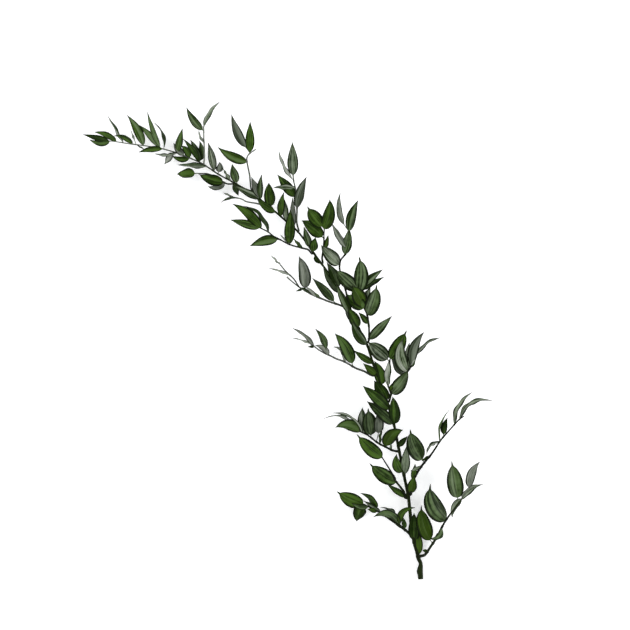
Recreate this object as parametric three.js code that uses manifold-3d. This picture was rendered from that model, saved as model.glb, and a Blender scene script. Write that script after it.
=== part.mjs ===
// A cut stem of soft ruscus, laid down on a surface: one arching main stem and its leafy side shoots.
// Millimetres, +Z up. Plan places are measured from the middle of the cut end, with the stem running
// off along +Y and arching over towards -X. The finished group is moved so that its origin is at the
// middle of its box, on the surface that it lies on.

import * as THREE from 'three';
import Module from 'manifold-3d';
import { mergeVertices } from 'three/addons/utils/BufferGeometryUtils.js';

const wasm = await Module();
wasm.setup();

const UP = new THREE.Vector3(0, 0, 1);

// Leaf blades
const MIDRIB_THICKNESS = 0.9;
const EDGE_THICKNESS = 0.65;
const NARROW_LEAF = 16;           // leaves narrower than this are flat across, with no fold
const LEAST_HALF_WIDTH = 0.6;     // of the stalk and of the drawn-out tip
const LEAF_ARCH = 0.08;           // height of a blade's arch, as a share of its length
const LEAF_FOLD = 0.1;            // lift of the blade's edges over the midrib, as a share of half its width
// A blade's oval outline: the share of its length before the drawn-out tip, and the exponents of the
// oval towards the leaf's base and towards its tip, for the broadest leaves, middling and narrow ones,
// with the least width of each.
const OUTLINES = [
  [19.5, [0.87, 0.46, 0.62]],
  [NARROW_LEAF, [0.96, 0.5, 0.85]],
  [0, [0.98, 0.62, 1.1]],
];
// Shares of a blade's length at which its outline turns, for the longest leaves, middling and small
// ones, with the least length of each.
const STATIONS = [
  [44, [0.07, 0.22, 0.42, 0.66, 0.86]],
  [24, [0.1, 0.4, 0.76]],
  [0, [0.15, 0.6]],
];

// Stems
const STEM_SIDES = 8;
const SHOOT_SIDES = 5;
const SHOOT_TIP_RADIUS = 0.65;
const SHOOT_GAP = 0.25;           // between a shoot's foot and the main stem
const NEAREST_STEPS = 200;        // fineness of the search for the place nearest to a leaf's root

// The main stem from its cut end to its tip: place of the middle and radius.
const MAIN_STEM = [
  [0, -1.5, 3.7, 3.7],
  [-0.6, 5, 3.9, 3.8],
  [-1.3, 10, 4.6, 4.5],
  [0, 20, 4.2, 2.7],
  [-2.8, 27, 4.6, 2.8],
  [-5.5, 38, 5.4, 2.7],
  [-8.4, 48, 6.2, 2.7],
  [-12.6, 69, 8.4, 2.6],
  [-15.4, 97, 12, 2.4],
  [-18, 118, 14.5, 2.3],
  [-22.4, 139, 17, 2.2],
  [-26.6, 160, 19, 2.1],
  [-30.8, 181, 21, 2],
  [-33.6, 195, 22.5, 2],
  [-38, 217, 24.5, 1.9],
  [-46, 244, 26.5, 1.9],
  [-54, 266, 28, 1.8],
  [-61, 282, 29, 1.8],
  [-66, 298, 29.8, 1.75],
  [-71, 314, 30.3, 1.7],
  [-76, 329, 30.6, 1.7],
  [-86, 349, 31, 1.65],
  [-96, 367, 31, 1.6],
  [-106, 386, 30.8, 1.6],
  [-114, 404, 30.3, 1.55],
  [-126, 423, 29.6, 1.5],
  [-139, 441, 28.8, 1.5],
  [-150, 456, 27.8, 1.4],
  [-162, 473, 26.6, 1.4],
  [-174, 488, 25.4, 1.3],
  [-190, 502, 24, 1.3],
  [-211, 520, 22, 1.2],
  [-236, 540, 20, 1.2],
  [-262, 555, 18, 1.1],
  [-284, 567, 16.3, 1.1],
  [-309, 583, 14.6, 1],
  [-340, 596, 12.8, 0.9],
  [-363, 603, 11.4, 0.85],
  [-386, 607, 10, 0.8],
  [-410, 610, 8.6, 0.75],
  [-428, 613, 7.4, 0.7],
  [-438, 614, 6.6, 0.6],
];

// A leaf is [root x, root y, tip x, tip y, width, rise, turn, bow]: its root and tip in plan, its width,
// how far the tip stands above the root, the roll of the blade in degrees (positive lifts the edge to
// the right of its run, and past 90 the underside shows) and its sideways bow as a share of its length.
const MAIN_LEAVES = [
  [-0.5, 31, -6, 71, 11.5, 1, 5, 0.05],
  [-5.5, 50, -9.5, 92, 17, 6, 5, 0],
  [-21, 144, -20, 187, 14, 7, 15, 0],
  [-26, 149, -34, 175, 15, 8, -10, -0.17],
  [-32, 185, -19, 200, 8.5, 5, 10, 0],
  [-38, 218, -40, 256, 17, 14, 15, 0.04],
  [-40, 217, -76, 249, 17, 5, -20, 0.02],
  [-43.5, 237, -82, 271, 17.5, 11, -15, 0],
  [-48, 250, -66, 278, 18, 3, 10, 0.02],
  [-54, 272, -65, 305, 17, -5, -12, 0.06],
  [-62.5, 286, -81, 302, 11, 9, 10, 0],
  [-68, 302, -94, 320, 10.5, 2, -20, -0.02],
  [-77, 327, -97, 362, 14.5, 6, 12, -0.08],
  [-86, 350, -102, 380, 16, 7, -10, 0],
  [-92, 360, -106, 384, 11, 0, 160, -0.06],
  [-97, 369, -119, 414, 11.5, 7, 10, -0.02],
  [-112, 401, -137, 438, 12, 2, -20, -0.06],
  [-115, 408, -132, 443, 15, 7, 10, 0.05],
  [-149, 455, -140, 441.5, 5.5, -1, 20, 0.2],
  [-149.5, 456, -147.5, 478, 13, 6, -10, -0.05],
  [-156, 464, -164, 493, 11, 4, 20, 0],
  [-187, 500, -191, 531, 10, 4, 25, 0],
  [-178, 492, -180, 534, 10, 0, 150, 0],
  [-197, 508, -192, 541, 11, 8, 20, -0.04],
  [-211, 522, -213, 555, 16, 6, -8, -0.02],
  [-202, 507, -230, 533, 12, 4, -20, -0.05],
  [-224, 532, -223, 566, 10, 8, 25, -0.04],
  [-226, 535, -237.5, 563, 12.5, -4, 150, 0],
  [-223, 531, -262, 551, 11, 6, -20, 0],
  [-262, 554, -256, 537, 10, -8, 20, 0],
  [-257, 549, -264.5, 581, 12.5, 7, 10, -0.02],
  [-266, 558, -277, 574, 9, 5, 60, 0],
  [-291.5, 571, -298, 611, 11.5, 9, 15, 0.02],
  [-286, 565, -282, 584, 11.5, 3, 150, 0.08],
  [-308, 583, -333, 616, 13, 13, 50, 0.06],
  [-311, 584, -323, 615, 11, 3, 10, 0.05],
  [-308, 584, -310.5, 614, 10, -4, 0, 0.1],
  [-299, 575, -342, 580, 13, -6, 56, 0.02],
  [-323, 588, -349, 593, 10, -3, -30, -0.12],
  [-341, 596, -373, 596, 10, -5, 66, -0.08],
  [-346, 597, -360, 581, 11, -7, 150, 0],
  [-342, 598, -334, 631, 11, 10, 20, 0],
  [-325, 589, -336, 607, 11, 8, -20, 0.1],
  [-333, 593, -347, 611, 11, -2, 160, -0.05],
  [-363, 603, -396, 598, 9, -4, 20, 0.05],
  [-362, 604, -374, 639, 9, 8, 64, 0.16],
  [-364, 606, -395, 636, 10, 2, 12, 0.03],
  [-364, 605, -383, 654, 8.5, 14, 25, -0.03],
  [-388.5, 608, -412, 650, 13, 6, 10, 0.06],
  [-397, 609, -407, 629, 7, 2, 74, 0],
  [-397, 609, -386, 601, 4, 1, 60, 0],
  [-418, 612, -439, 649, 10, 7, 64, 0],
  [-404, 610, -430, 621, 9, 5, 35, 0.12],
  [-428, 613, -458, 626, 10, 7, 30, 0.1],
  [-437, 614, -465, 616, 9, -6.2, 12, -0.14],
  [-438, 614, -474, 623, 9, 2, 25, 0],
];

// A side shoot: where it leaves the main stem in plan, the lines that its own stems follow, each a list
// of places, and its leaves. A second line starts on the first.
const SHOOTS = {
  right_shoot_1: {
    foot: [-3.6, 30],
    lines: [
      [[6, 33, 6], [13, 43, 8], [22, 57, 11], [34, 80, 16], [46, 97, 20], [57, 112, 24], [69, 128, 28]],
    ],
    leaves: [
      [9, 38, 2.5, 39.5, 5, 1, 20, 0],
      [11, 52.5, 0.5, 103, 22, 10, -10, -0.08],
      [31, 71.5, 12, 56, 12, 6, 40, -0.26],
      [35, 83, 13, 134, 26.5, 20, -8, -0.16],
      [57, 112.5, 44, 85.5, 11.5, -10, 30, 0.14],
      [45.5, 110.5, 42.5, 165.5, 23.5, 16, 8, 0],
      [57, 112, 87, 133, 15, 9, 56, -0.12],
      [68, 128, 82, 165, 15.5, 13, 152, -0.13],
    ],
  },
  right_shoot_2: {
    foot: [-17.5, 116.5],
    lines: [
      [[-12, 134, 18.5], [-5, 149, 22], [3, 161, 25], [13, 173, 28], [20, 183, 30], [27, 194, 31.5],
        [40, 209, 32], [52, 222, 28], [60, 228, 24]],
    ],
    leaves: [
      [-14, 119.5, -9.5, 145, 14, 9, -8, 0],
      [-14, 137, -8, 161, 9, 1, 20, 0],
      [0.5, 166.5, -15.5, 210, 24, 13, -12, -0.08],
      [-1, 159, -15, 151, 10, 3, 60, 0],
      [12, 172, 1, 165, 7, -4, 45, 0],
      [26, 193, 8, 174, 12, -8, 64, 0.2],
      [26, 193, 42, 239.5, 9, 13, 72, -0.14],
      [29.5, 202, 36.5, 226, 10, 12, 20, -0.08],
      [46, 217, 72, 262, 12, 8, 58, -0.15],
      [53.5, 223.5, 101, 249, 12.5, -26.2, 60, -0.23],
    ],
  },
  right_shoot_3: {
    foot: [-48, 250],
    lines: [
      [[-42, 259, 29.5], [-38, 268, 31.5], [-32, 280, 34], [-24, 288, 37], [-18, 292, 38.5],
        [-13, 300, 40], [-9, 306, 41], [-6, 315, 42]],
      [[-42, 259, 29.5], [-44, 264, 32], [-46.5, 272, 34], [-46, 283, 35], [-43, 296, 36], [-45, 306, 37]],
    ],
    leaves: [
      [-40.5, 258.5, -18.5, 293, 19, 17, 10, 0.05],
      [-19, 291, -25, 337, 19, 17, -12, -0.17],
      [-26, 286, -42, 314, 14, -5, 150, 0],
      [-47, 270, -42.5, 310, 13, -2, 46, -0.06],
      [-16, 294, -16, 331, 11, 1, 48, -0.12],
      [-13, 300, 4, 346, 15.5, 13, 165, -0.12],
      [-6, 315, 27, 338, 12, -6, 64, -0.12],
      [-15, 297, -8, 309, 6.5, 3, 10, 0],
      [-48.5, 304.5, -75.5, 333, 22, 5, 10, 0],
      [-44, 309, -20.5, 348, 20, 7, -8, 0.02],
      [-44, 264, -38, 276, 6.5, 2, 25, 0],
    ],
  },
  right_shoot_4: {
    foot: [-76.5, 330],
    lines: [
      [[-73, 336, 33], [-73, 352, 36.5], [-75, 368, 39.5], [-79, 378, 41], [-84, 392, 42], [-88, 405, 43]],
    ],
    leaves: [
      [-73, 336, -41, 368, 14, 4, 22, 0],
      [-77, 354, -87.5, 373, 9, 4, -12, 0.05],
      [-76, 369, -62.5, 412, 21, 11, 12, 0.06],
      [-81, 377, -105, 399, 20, 5, 10, 0],
      [-82, 381, -97, 411, 21, 12, -10, 0.02],
      [-82, 386, -71, 408, 12, 3, 10, 0],
      [-78, 406, -54, 433, 11.5, 6, 20, -0.04],
      [-77, 401, -52, 422.5, 10, -3, 42, -0.06],
      [-87, 403, -87, 451, 21, 9, 8, 0.07],
      [-91, 402, -121, 434, 20, 5, -12, -0.02],
    ],
  },
  right_shoot_5: {
    foot: [-106, 386],
    lines: [
      [[-104.5, 400, 34], [-110, 418, 37.5], [-114, 434, 40.5], [-113, 445, 43], [-108, 452, 45],
        [-104, 457, 46], [-101, 470, 48], [-101, 486, 50]],
    ],
    leaves: [
      [-115, 440, -140, 467, 19, 5, -10, -0.02],
      [-109, 454, -100.5, 491, 14.5, 3, 12, 0.02],
      [-107.5, 462, -125, 498, 11, 3, 145, -0.03],
      [-103, 485, -88, 530, 14.5, 6, 15, -0.06],
      [-109.5, 494, -113, 540, 10.5, 3, 145, -0.13],
    ],
  },
  right_shoot_6: {
    foot: [-139, 441],
    lines: [
      [[-138.5, 450, 31], [-137, 460, 34], [-136, 470, 37], [-136, 480, 40], [-135.5, 490, 43]],
    ],
    leaves: [
      [-135.5, 490, -128, 531, 18, 4, 8, 0.08],
      [-136.5, 495, -159, 521, 19.5, -2, -12, -0.03],
      [-140, 476, -167, 502, 18, -3, 12, 0.04],
      [-138, 461, -130, 481, 9, 2, 30, 0.04],
    ],
  },
  right_shoot_7: {
    foot: [-174, 488],
    lines: [
      [[-174, 500, 28.5], [-173.5, 519, 33], [-175, 535, 37], [-176, 547, 39.5], [-178, 556, 41],
        [-179, 565, 42.5]],
    ],
    leaves: [
      [-174, 519, -160, 563, 14.5, 5, 160, -0.05],
      [-178, 532, -201, 566, 15, -2, 12, 0],
      [-176, 546, -206, 547, 13, 6, 52, 0.06],
      [-181, 557, -199, 599, 11, 4, 118, -0.07],
      [-179, 565, -180, 611, 15.5, 3, 0, 0],
    ],
  },
  right_shoot_8: {
    foot: [-238, 541],
    lines: [
      [[-238, 547, 23], [-239, 557, 28], [-240, 566, 31], [-243, 581, 35], [-243.5, 589, 37],
        [-240, 595, 38], [-231, 601, 38.5]],
    ],
    leaves: [
      [-246, 604, -265, 650, 13, 4, 170, -0.06],
      [-240.5, 597, -239, 640, 13, 2, 0, 0],
      [-243.5, 584, -284, 604, 14.5, 3, -8, -0.07],
    ],
  },
  right_shoot_9: {
    foot: [-306, 581],
    lines: [
      [[-303.5, 592, 20], [-303.5, 605, 24], [-304, 618, 28], [-304, 634, 32]],
    ],
    leaves: [
      [-306, 627, -328, 660, 11.5, 4, 12, -0.07],
      [-304, 634, -281, 668, 12, 3, 55, -0.08],
      [-304, 611, -311, 629, 8, 1, 66, -0.1],
    ],
  },
  left_shoot_1: {
    foot: [-12, 65],
    lines: [
      [[-20, 66.5, 9.5], [-33, 76, 10], [-42, 82, 10], [-56, 92, 10], [-68, 98, 9], [-80, 104, 8]],
    ],
    leaves: [
      [-29, 75, -67, 86, 17.5, 6, 42, 0.3],
      [-33, 78, -57, 99, 12, -2, 72, 0.28],
      [-27, 75, -8, 100, 10, 16, -15, -0.3],
      [-20, 70, -25, 86, 7.5, 3, 20, 0],
      [-80, 105, -118, 122, 20.5, -2, 8, -0.05],
      [-59, 98, -85, 120, 11, 9, 40, 0.16],
      [-81, 106, -90, 79.5, 19, -6, 15, 0.06],
      [-56, 93, -81, 109, 12, -3, 58, 0.02],
      [-60, 95, -75, 97, 8, -3, 20, 0],
      [-73, 100.5, -97, 106, 8.5, 2, 30, -0.12],
    ],
  },
  left_shoot_2: {
    foot: [-18, 113],
    lines: [
      [[-24, 122, 15.5], [-30, 130, 18], [-36, 138, 21], [-40, 147, 24], [-48, 160, 27], [-55, 171, 30]],
    ],
    leaves: [
      [-22, 114, -48, 133, 10, -5, -30, 0],
      [-35, 135, -72, 162, 20.5, 1, -12, -0.06],
      [-55, 170, -90, 203, 19.5, 8, 8, -0.04],
    ],
  },
  left_shoot_3: {
    foot: [-30, 177],
    lines: [
      [[-40, 180, 18.5], [-50, 185, 16.5], [-60, 190, 14.5], [-73, 200, 12], [-82, 205, 10.5], [-90, 208, 9]],
    ],
    leaves: [
      [-42, 181, -42, 190, 4, 3, 30, 0],
      [-48.5, 186, -25, 209, 19, 18, -10, -0.18],
      [-57, 189, -54, 212, 8, 3, 62, -0.05],
      [-55, 202, -62, 233, 15.5, 16, 160, 0.08],
      [-67, 201, -74, 239, 22, 6, -10, 0],
      [-79, 204, -82, 240, 16, 3, 20, -0.03],
      [-84, 206, -120, 211.5, 18, -3, 22, 0.2],
      [-82, 205, -127, 232, 12, 12, 66, 0.19],
      [-90, 208, -138, 223, 9, -6, 64, 0.24],
    ],
  },
  left_shoot_4: {
    foot: [-63, 286],
    lines: [
      [[-70, 285.5, 26], [-80, 291, 23], [-91, 295, 20], [-107, 304, 17], [-118, 308, 15], [-128, 313, 13],
        [-137, 317, 12], [-145, 322, 11], [-150, 326, 10]],
    ],
    leaves: [
      [-93, 302, -121, 344, 18, 10, -12, 0.08],
      [-107, 304, -122, 325, 9, 2, 30, 0.26],
      [-130, 322, -148, 350, 11, 8, 30, 0.12],
      [-129, 314, -148, 327, 10, 1, 150, 0.15],
      [-150, 326, -180, 351, 9, 9, 130, 0.08],
      [-150, 326, -180, 337, 8, -2, 74, 0.06],
      [-149, 325.5, -158, 325, 4, -1, 10, 0],
    ],
  },
  left_shoot_5: {
    foot: [-104, 382],
    lines: [
      [[-115, 384, 27.5], [-128, 388, 25], [-138, 392, 23], [-148, 396, 21], [-158, 401, 20],
        [-166, 406, 18], [-171, 409, 17], [-180, 416, 15.5], [-188, 423, 14]],
      [[-171, 409, 17], [-178, 420, 17], [-189, 430.5, 17], [-197, 440, 17]],
    ],
    leaves: [
      [-118, 390, -152, 421, 13, 5, 20, 0.02],
      [-160, 407, -171, 452, 18, 10, 165, 0.07],
      [-166, 406, -175, 403, 3.5, -2, 10, 0],
      [-145, 395.5, -162, 410, 6.5, 4, 150, 0],
      [-196, 440, -210, 453, 8, 3, 70, 0],
      [-183, 425, -213, 435, 6.5, -3, 60, 0.04],
      [-141, 394, -149.5, 401, 4, 1, 10, 0],
      [-155, 400, -170, 408, 6, 2, 50, 0.08],
    ],
  },
  left_shoot_6: {
    foot: [-149.5, 455.5],
    lines: [
      [[-158, 461, 26.5], [-165, 463, 26], [-177, 466, 25], [-188, 470, 24], [-196, 474.5, 23],
        [-201, 476, 23]],
      [[-196, 474.5, 23], [-203, 478, 24], [-208, 481, 25], [-214, 486, 26], [-220, 489, 27],
        [-226, 492, 28]],
    ],
    leaves: [
      [-167, 463.5, -178, 476, 7, 5, 45, 0],
      [-184.5, 469, -182.5, 518, 15.5, 11, -5, 0],
      [-184, 468.5, -197, 482, 6, -3, 55, 0],
      [-201, 476, -240, 466, 15, -6, -12, 0.05],
      [-214, 486, -248, 522, 12, 14, 60, 0.16],
      [-226, 492, -267, 503, 13, -4, -8, 0],
      [-224, 491, -264, 525, 14.5, 5, 10, 0.08],
    ],
  },
  left_shoot_7: {
    foot: [-213, 522],
    lines: [
      [[-219, 523, 16], [-230, 526, 14], [-244, 528.5, 12.5], [-252, 532.5, 11.5], [-264, 535, 11]],
    ],
    leaves: [
      [-258, 534, -281, 527, 6, -3, 60, 0.1],
      [-263, 535, -277, 541, 7, 2, 66, 0],
    ],
  },
  left_shoot_8: {
    foot: [-264, 556],
    lines: [
      [[-271, 553.5, 14], [-277, 556, 12.5], [-282, 560, 12], [-290, 564.5, 11.5], [-300, 568, 11],
        [-312, 568, 10]],
    ],
    leaves: [
      [-275, 554, -299, 550, 11, -7, 150, -0.14],
      [-277.5, 556, -311, 567, 16, -3, -12, -0.05],
      [-317, 566, -342.5, 567.5, 16, -5, -30, 0.02],
    ],
  },
};

const stemMaterial = new THREE.MeshStandardMaterial({ color: 0x3d4a2a, roughness: 0.6, metalness: 0 });
const leafMaterial = new THREE.MeshStandardMaterial({ color: 0x2f4a1e, roughness: 0.45, metalness: 0 });

// The direction of a run, its level right-hand side and the normal between them.
function runFrame(run) {
  const side = new THREE.Vector3().crossVectors(run, UP).normalize();
  const normal = new THREE.Vector3().crossVectors(side, run).normalize();
  return { side, normal };
}

function curveThrough(places) {
  const points = places.map(([x, y, z]) => new THREE.Vector3(x, y, z));
  return new THREE.CatmullRomCurve3(points, false, 'catmullrom', 0.5);
}

// A round stem along a curve, with a radius that follows radiusAt(share of its run).
function stemGeometry(curve, radiusAt, sides, steps) {
  const geometry = new THREE.CylinderGeometry(1, 1, 1, sides, steps);
  const position = geometry.attributes.position;
  for (let i = 0; i < position.count; i += 1) {
    const share = THREE.MathUtils.clamp(position.getY(i) + 0.5, 0, 1);
    const radius = radiusAt(share);
    const { side, normal } = runFrame(curve.getTangent(share));
    const place = curve.getPoint(share)
      .addScaledVector(side, position.getX(i) * radius)
      .addScaledVector(normal, position.getZ(i) * radius);
    position.setXYZ(i, place.x, place.y, place.z);
  }
  return geometry;
}

// The place on a set of curves that is nearest in plan to x, y.
function nearestPlace(curves, x, y) {
  let best = null;
  for (const curve of curves) {
    for (let step = 0; step <= NEAREST_STEPS; step += 1) {
      const place = curve.getPoint(step / NEAREST_STEPS);
      const distance = Math.hypot(place.x - x, place.y - y);
      if (best === null || distance < best.distance) {
        best = { place, distance, curve, share: step / NEAREST_STEPS };
      }
    }
  }
  return best;
}

// Half the width of a blade's oval body at a share of the blade's length.
function outline(share, width) {
  const [, [body, base, tip]] = OUTLINES.find(([least]) => width >= least);
  const along = Math.min(share / body, 1);
  const widest = base / (base + tip);
  const most = widest ** base * (1 - widest) ** tip;
  return (0.5 * width * along ** base * (1 - along) ** tip) / most;
}

// A leaf: a thin blade with an oval outline and a drawn-out tip, arched along its length and folded a
// little along its midrib. It starts in the middle of the stem that carries it, with a short stalk.
function leafGeometry(start, [rootX, rootY, tipX, tipY, width, rise, turn, bow]) {
  const chord = new THREE.Vector3(tipX - start.x, tipY - start.y, 0);
  const length = chord.length();
  const across = new THREE.Vector3(chord.y, -chord.x, 0).normalize();
  const stalk = Math.hypot(rootX - start.x, rootY - start.y) / length;
  const [, stations] = STATIONS.find(([least]) => Math.hypot(length, rise) >= least);
  const places = width < NARROW_LEAF ? [-1, 1] : [-1, 0, 1];
  const shares = [0, ...stations.map((share) => stalk + share * (1 - stalk)), 1];

  const midrib = (share) => {
    const swell = 4 * share * (1 - share);
    const place = start.clone().addScaledVector(chord, share).addScaledVector(across, bow * length * swell);
    place.z += rise * share + LEAF_ARCH * length * swell;
    return place;
  };

  const roll = THREE.MathUtils.degToRad(turn);
  const vertices = [];
  for (const share of shares) {
    const run = midrib(share + 0.01).sub(midrib(share - 0.01)).normalize();
    const { side, normal } = runFrame(run);
    side.applyAxisAngle(run, -roll);
    normal.applyAxisAngle(run, -roll);
    const bladeShare = THREE.MathUtils.clamp((share - stalk) / (1 - stalk), 0, 1);
    const half = Math.max(outline(bladeShare, width), LEAST_HALF_WIDTH);
    for (const face of [1, -1]) {
      for (const edge of places) {
        const thickness = edge === 0 ? MIDRIB_THICKNESS : EDGE_THICKNESS;
        const fold = places.length === 3 ? LEAF_FOLD * half * Math.abs(edge) : 0;
        const lift = fold + (face * thickness) / 2;
        const place = midrib(share).addScaledVector(side, edge * half).addScaledVector(normal, lift);
        vertices.push(place.x, place.y, place.z);
      }
    }
  }

  // Every station lists its upper places from left to right, then the lower ones.
  const count = places.length;
  const triangles = [];
  const quad = (a, b, c, d) => triangles.push(a, b, c, a, c, d);
  const end = (shares.length - 1) * 2 * count;
  for (let near = 0; near < end; near += 2 * count) {
    const far = near + 2 * count;
    for (let j = 0; j < count - 1; j += 1) {
      const low = j + count;
      quad(near + j, near + j + 1, far + j + 1, far + j);
      triangles.push(near + low, far + low + 1, near + low + 1, near + low, far + low, far + low + 1);
    }
    quad(near + 2 * count - 1, far + 2 * count - 1, far + count - 1, near + count - 1);
    quad(near, far, far + count, near + count);
  }
  for (let j = 0; j < count - 1; j += 1) {
    quad(j, j + count, j + count + 1, j + 1);
    quad(end + j, end + j + 1, end + j + count + 1, end + j + count);
  }

  const geometry = new THREE.BufferGeometry();
  geometry.setAttribute('position', new THREE.Float32BufferAttribute(vertices, 3));
  geometry.setIndex(triangles);
  return geometry;
}

function toSolid(geometry) {
  geometry.deleteAttribute('normal');
  geometry.deleteAttribute('uv');
  const merged = mergeVertices(geometry, 1e-4);
  const vertProperties = new Float32Array(merged.attributes.position.array);
  const triVerts = new Uint32Array(merged.index.array);
  return new wasm.Manifold(new wasm.Mesh({ numProp: 3, vertProperties, triVerts }));
}

// One named mesh from overlapping closed geometries, fused.
function fusedMesh(name, geometries, material) {
  const fused = geometries.map(toSolid).reduce((whole, solid) => whole.add(solid));
  const { vertProperties, triVerts } = fused.getMesh();
  const geometry = new THREE.BufferGeometry();
  geometry.setAttribute('position', new THREE.BufferAttribute(new Float32Array(vertProperties), 3));
  geometry.setIndex(new THREE.BufferAttribute(new Uint32Array(triVerts), 1));
  geometry.computeVertexNormals();
  const mesh = new THREE.Mesh(geometry, material.clone());
  mesh.name = name;
  return mesh;
}

const mainCurve = curveThrough(MAIN_STEM);

function mainRadius(share) {
  const along = share * (MAIN_STEM.length - 1);
  const index = Math.min(Math.floor(along), MAIN_STEM.length - 2);
  return THREE.MathUtils.lerp(MAIN_STEM[index][3], MAIN_STEM[index + 1][3], along - index);
}

function leavesOn(curves, leaves) {
  return leaves.map((leaf) => leafGeometry(nearestPlace(curves, leaf[0], leaf[1]).place, leaf));
}

function mainStem() {
  const stem = stemGeometry(mainCurve, mainRadius, STEM_SIDES, MAIN_STEM.length - 1);
  return fusedMesh('main_stem', [stem, ...leavesOn([mainCurve], MAIN_LEAVES)], stemMaterial);
}

// A shoot's first line starts beside the main stem, a gap away from its surface.
function shootMesh(name, { foot, lines, leaves }) {
  const axil = nearestPlace([mainCurve], ...foot);
  const stemRadius = mainRadius(axil.share);
  const footRadius = 0.5 * stemRadius + 0.4;
  const run = mainCurve.getTangent(axil.share);
  const heading = new THREE.Vector3(...lines[0][0]).sub(axil.place).normalize();
  const outward = heading.clone().addScaledVector(run, -heading.dot(run)).normalize();
  const slant = Math.sqrt(1 - heading.dot(outward) ** 2);
  const start = axil.place.clone().addScaledVector(outward, stemRadius + SHOOT_GAP + footRadius * slant);

  const curves = lines.map((line, index) => curveThrough(index === 0 ? [start.toArray(), ...line] : line));
  const stems = curves.map((curve, index) => {
    const thick = index === 0 ? footRadius : SHOOT_TIP_RADIUS + 0.15;
    const radiusAt = (share) => THREE.MathUtils.lerp(thick, SHOOT_TIP_RADIUS, share);
    return stemGeometry(curve, radiusAt, SHOOT_SIDES, curve.points.length - 1);
  });
  return fusedMesh(name, [...stems, ...leavesOn(curves, leaves)], leafMaterial);
}

const ruscusStem = new THREE.Group();
ruscusStem.add(mainStem());
for (const [name, shoot] of Object.entries(SHOOTS)) {
  ruscusStem.add(shootMesh(name, shoot));
}

const box = new THREE.Box3().setFromObject(ruscusStem, true);
const middle = box.getCenter(new THREE.Vector3());
ruscusStem.position.set(-middle.x, -middle.y, -box.min.z);

export default ruscusStem;
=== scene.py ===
"""A cut stem of soft ruscus, laid down on a pale surface.

Builds the arching main stem, the leaves that grow straight on it and its leafy side shoots around the
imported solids. Plan places are in millimetres from the middle of the cut end, with the stem running
off along +Y and arching over towards -X, and every finished piece is in metres in the row frame.
"""

import math
import random

import bmesh
import bpy
from bpy.props import FloatProperty, FloatVectorProperty, IntProperty, PointerProperty
from mathutils import Matrix, Vector


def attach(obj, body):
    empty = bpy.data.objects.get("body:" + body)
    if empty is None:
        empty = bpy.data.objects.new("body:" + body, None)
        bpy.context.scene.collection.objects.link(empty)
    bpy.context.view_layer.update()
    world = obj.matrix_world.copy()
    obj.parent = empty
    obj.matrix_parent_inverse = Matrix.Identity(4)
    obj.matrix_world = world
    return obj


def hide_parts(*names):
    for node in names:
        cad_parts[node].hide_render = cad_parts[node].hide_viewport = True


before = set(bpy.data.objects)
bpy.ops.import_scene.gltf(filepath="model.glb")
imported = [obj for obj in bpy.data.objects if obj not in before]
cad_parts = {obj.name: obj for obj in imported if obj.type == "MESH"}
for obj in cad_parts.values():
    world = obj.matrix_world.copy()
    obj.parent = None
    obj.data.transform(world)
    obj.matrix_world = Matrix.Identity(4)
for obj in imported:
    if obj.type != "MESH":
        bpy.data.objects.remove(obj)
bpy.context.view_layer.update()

bl_info = {
    "name": "Ruscus stem",
    "version": (1, 0, 0),
    "blender": (4, 5, 0),
    "location": "3D View > Sidebar > Ruscus",
    "description": "Builds a cut ruscus stem with its leaves and leafy side shoots",
    "category": "Add Mesh",
}

UP = Vector((0, 0, 1))

# Millimetres in the plan to metres in the row frame, whose origin is the middle of the plan's box.
MM_PER_METRE = 1000
PLAN_MIDDLE = Vector((-186.421, 333.298, 0.002))
PLAN_TO_ROW = Matrix.Scale(1 / MM_PER_METRE, 4) @ Matrix.Translation(-PLAN_MIDDLE)

# Leaves and stems, with lengths in millimetres.
NARROW_LEAF = 16           # leaves narrower than this are nearly flat across
# A blade's oval outline for the broadest leaves, middling and narrow ones: the least width of each, then the
# share of its length before the drawn-out tip, and the oval's exponents towards its base and towards its tip.
OUTLINES = (
    (19.5, (0.87, 0.46, 0.62)),
    (NARROW_LEAF, (0.96, 0.5, 0.85)),
    (0, (0.98, 0.62, 1.1)),
)
LEAF_ARCH = 0.08           # height of a blade's arch, as a share of its length
LEAF_FOLD = 0.1            # lift of the edges over the midrib, as a share of half the width
NARROW_FOLD = 0.4          # a narrow leaf's fold, as a share of a broad one's
EDGE_CURL = 0.05           # how far the edges bend back down, as a share of half the width
GROOVE_DEPTH = 0.14        # of the groove along the midrib
GROOVE_WIDTH = 0.09        # as a share of half the width
STALK_RADIUS = 0.55
STALK_THICKENING = 0.35    # added to the blade's thickness where it becomes the stalk
TIP_RADIUS = 0.3           # half the width of the drawn-out tip at its very end
SHOOT_TIP_RADIUS = 0.65
FORK_RADIUS = 0.8          # at a fork's foot
SHOOT_FULLNESS = 1.3       # thickness of a finished shoot for one of its solid's
SHOOT_GAP = 0.25           # between a shoot's solid foot and the main stem
MAIN_NODE_LENGTH = 2.2     # half the length of a swollen node on the main stem
SHOOT_NODE_LENGTH = 1.4
TWIG_SWELLING = 1.6        # swelling of a shoot's nodes for one of the main stem's
CAP_INSET = 0.3            # inset of a stem's end faces, as a share of its radius
TIP_PALENESS = 0.75        # how far the main stem's tip is bleached
MAIN_RINGS = 7             # rings of faces between two places of the main stem
SHOOT_RINGS = 6
NEAREST_STEPS = 200        # fineness of the search for the place nearest to a leaf's root
VIEW_MIDDLE = (-148.4, 369.6)   # plan place in the middle of the camera's view

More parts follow.
